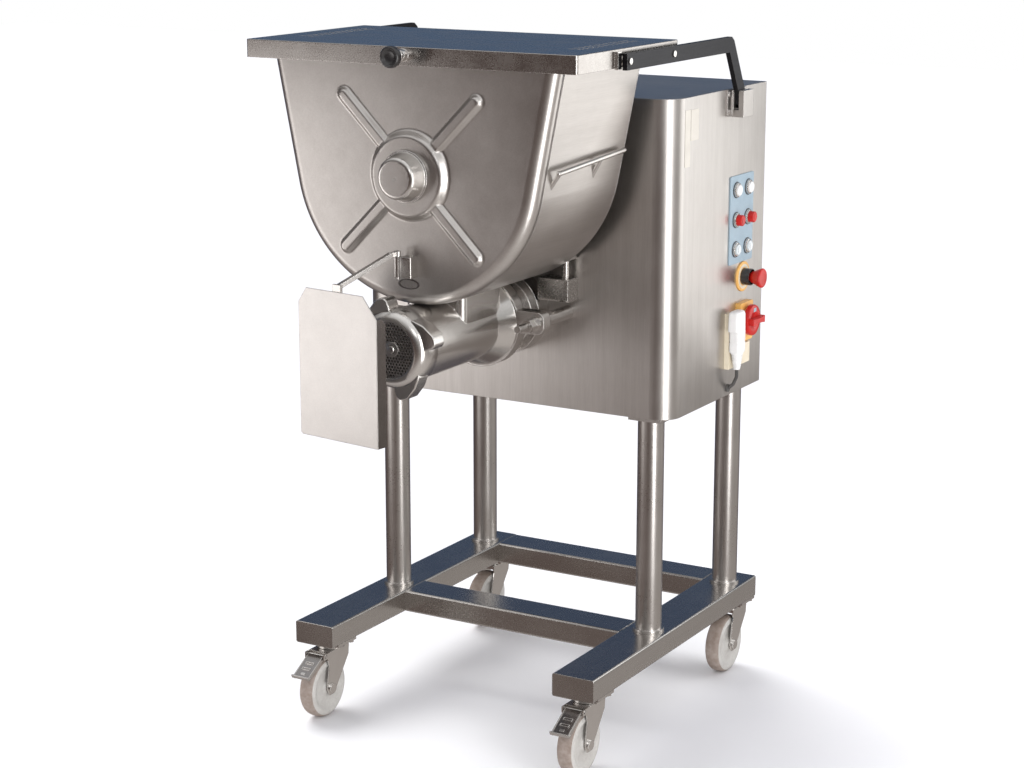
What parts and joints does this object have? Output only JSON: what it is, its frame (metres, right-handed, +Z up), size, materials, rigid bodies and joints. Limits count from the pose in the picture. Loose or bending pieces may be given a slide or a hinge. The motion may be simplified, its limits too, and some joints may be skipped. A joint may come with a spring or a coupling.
{
  "type": "meat mixer grinder",
  "caption": "Floor-standing stainless mixer grinder: lidded U hopper with paddle, feed screw head with ring nut outlet, swinging guard, drive cabinet and wheeled stand.",
  "frame": {"origin": "centre of the bounding box on the floor, with the lid shut and the guard as stored", "axes": "+Z up; the outlet and hopper front face -Y; the control wall faces +X"},
  "size_m": [0.788, 0.9866, 1.393],
  "materials": {
    "stainless_brushed": "brushed",
    "stainless_dark": "satin",
    "stainless_polished": "polished",
    "black_bar": "satin",
    "black_plastic": "matte",
    "white_nylon": "satin",
    "white_plastic": "gloss",
    "cream_plastic": "satin",
    "blue_grey_plate": "satin",
    "red_plastic": "gloss",
    "yellow_plastic": "gloss",
    "clear_lens": "gloss",
    "drive_paint": "satin",
    "label_film": "matte",
    "cable_sheath": "matte"
  },
  "bodies": {
    "frame": {"base_side_rails": "stainless_brushed", "base_cross_rails": "stainless_brushed", "support_posts": "stainless_brushed", "caster_top_plates": "stainless_polished", "caster_plate_bolts": "stainless_polished", "cabinet_shell": "stainless_brushed", "cabinet_floor": "stainless_brushed", "cabinet_rear_cover": "stainless_brushed", "rear_cover_screws": "stainless_polished", "blank_labels": "label_film", "grinder_gearmotor": "drive_paint", "paddle_gearmotor": "drive_paint", "hopper_front_panel": "stainless_brushed", "hopper_trough": "stainless_brushed", "hopper_rear_panel": "stainless_brushed", "paddle_bearing_cap": "stainless_brushed", "side_grab_bar": "stainless_polished", "hopper_support_blocks": "stainless_brushed", "grinder_head": "stainless_polished", "head_neck": "stainless_brushed", "hole_plate": "stainless_dark", "clamp_studs": "stainless_polished", "clamp_nuts": "stainless_polished", "lid_hinge_blocks": "stainless_brushed", "guard_bracket": "stainless_brushed", "control_plate": "blue_grey_plate", "button_bezels": "black_plastic", "estop_base": "yellow_plastic", "isolator_box": "yellow_plastic", "connector_socket": "cream_plastic", "connector_plug": "white_plastic", "control_lead": "cable_sheath"},
    "lid": {"lid_panel": "stainless_brushed", "lid_knob": "black_plastic", "lid_arms": "black_bar", "lid_arm_fixings": "stainless_polished"},
    "guard": {"guard_plate": "stainless_brushed", "guard_arm": "stainless_polished"},
    "ring": {"ring_nut": "stainless_polished"},
    "feed_screw": {"auger": "stainless_polished", "auger_knife": "stainless_dark"},
    "paddle": {"mixing_paddle": "stainless_brushed"},
    "button_white_front": {"button_white_front": "white_plastic"},
    "button_white_rear": {"button_white_rear": "white_plastic"},
    "button_red_front": {"button_red_front": "red_plastic"},
    "button_red_rear": {"button_red_rear": "red_plastic"},
    "button_clear_front": {"button_clear_front": "clear_lens"},
    "button_clear_rear": {"button_clear_rear": "clear_lens"},
    "estop": {"estop_button": "red_plastic"},
    "isolator": {"isolator_knob": "red_plastic"},
    "fork_fl": {"caster_fl_fork": "stainless_polished"},
    "wheel_fl": {"caster_fl_wheel": "white_nylon"},
    "brake_fl": {"caster_fl_brake": "stainless_polished"},
    "fork_fr": {"caster_fr_fork": "stainless_polished"},
    "wheel_fr": {"caster_fr_wheel": "white_nylon"},
    "brake_fr": {"caster_fr_brake": "stainless_polished"},
    "fork_rl": {"caster_rl_fork": "stainless_polished"},
    "wheel_rl": {"caster_rl_wheel": "white_nylon"},
    "fork_rr": {"caster_rr_fork": "stainless_polished"},
    "wheel_rr": {"caster_rr_wheel": "white_nylon"}
  },
  "joints": [
    {"name": "lid_hinge", "type": "hinge", "parent": "frame", "child": "lid", "pos_m": [-0.01, 0.30729, 1.25], "axis": [-1, 0, 0], "range_deg": [0, 90]},
    {"name": "guard_swing", "type": "hinge", "parent": "frame", "child": "guard", "pos_m": [-0.027, -0.35671, 0.985], "axis": [0, 0, 1], "range_deg": [-60, 10]},
    {"name": "ring_nut_turn", "type": "hinge", "parent": "frame", "child": "ring", "pos_m": [-0.01, -0.38871, 0.838], "axis": [0, 1, 0], "range_deg": [0, 60]},
    {"name": "auger_spin", "type": "hinge", "parent": "frame", "child": "feed_screw", "pos_m": [-0.01, -0.25871, 0.838], "axis": [0, 1, 0], "continuous": true},
    {"name": "paddle_spin", "type": "hinge", "parent": "frame", "child": "paddle", "pos_m": [-0.01, -0.15871, 1.152], "axis": [0, 1, 0], "continuous": true},
    {"name": "push_white_front", "type": "slide", "parent": "frame", "child": "button_white_front", "axis": [-1, 0, 0], "range_m": [0, 0.003], "stiffness_N_per_m": 300},
    {"name": "push_white_rear", "type": "slide", "parent": "frame", "child": "button_white_rear", "axis": [-1, 0, 0], "range_m": [0, 0.003], "stiffness_N_per_m": 300},
    {"name": "push_red_front", "type": "slide", "parent": "frame", "child": "button_red_front", "axis": [-1, 0, 0], "range_m": [0, 0.003], "stiffness_N_per_m": 300},
    {"name": "push_red_rear", "type": "slide", "parent": "frame", "child": "button_red_rear", "axis": [-1, 0, 0], "range_m": [0, 0.003], "stiffness_N_per_m": 300},
    {"name": "push_clear_front", "type": "slide", "parent": "frame", "child": "button_clear_front", "axis": [-1, 0, 0], "range_m": [0, 0.003], "stiffness_N_per_m": 300},
    {"name": "push_clear_rear", "type": "slide", "parent": "frame", "child": "button_clear_rear", "axis": [-1, 0, 0], "range_m": [0, 0.003], "stiffness_N_per_m": 300},
    {"name": "estop_push", "type": "slide", "parent": "frame", "child": "estop", "axis": [-1, 0, 0], "range_m": [0, 0.005]},
    {"name": "isolator_turn", "type": "hinge", "parent": "frame", "child": "isolator", "pos_m": [0.37, 0.35929, 0.797], "axis": [1, 0, 0], "range_deg": [0, 90]},
    {"name": "swivel_fl", "type": "hinge", "parent": "frame", "child": "fork_fl", "pos_m": [-0.31, -0.19271, 0.148], "axis": [0, 0, 1], "continuous": true},
    {"name": "roll_fl", "type": "hinge", "parent": "fork_fl", "child": "wheel_fl", "pos_m": [-0.31, -0.22471, 0.0625], "axis": [1, 0, 0], "continuous": true},
    {"name": "brake_press_fl", "type": "hinge", "parent": "fork_fl", "child": "brake_fl", "pos_m": [-0.31, -0.24371, 0.135], "axis": [1, 0, 0], "range_deg": [0, 7]},
    {"name": "swivel_fr", "type": "hinge", "parent": "frame", "child": "fork_fr", "pos_m": [0.29, -0.19271, 0.148], "axis": [0, 0, 1], "continuous": true},
    {"name": "roll_fr", "type": "hinge", "parent": "fork_fr", "child": "wheel_fr", "pos_m": [0.29, -0.22471, 0.0625], "axis": [1, 0, 0], "continuous": true},
    {"name": "brake_press_fr", "type": "hinge", "parent": "fork_fr", "child": "brake_fr", "pos_m": [0.29, -0.24371, 0.135], "axis": [1, 0, 0], "range_deg": [0, 7]},
    {"name": "swivel_rl", "type": "hinge", "parent": "frame", "child": "fork_rl", "pos_m": [-0.31, 0.46129, 0.148], "axis": [0, 0, 1], "continuous": true},
    {"name": "roll_rl", "type": "hinge", "parent": "fork_rl", "child": "wheel_rl", "pos_m": [-0.31, 0.42929, 0.0625], "axis": [1, 0, 0], "continuous": true},
    {"name": "swivel_rr", "type": "hinge", "parent": "frame", "child": "fork_rr", "pos_m": [0.29, 0.46129, 0.148], "axis": [0, 0, 1], "continuous": true},
    {"name": "roll_rr", "type": "hinge", "parent": "fork_rr", "child": "wheel_rr", "pos_m": [0.29, 0.42929, 0.0625], "axis": [1, 0, 0], "continuous": true}
  ]
}
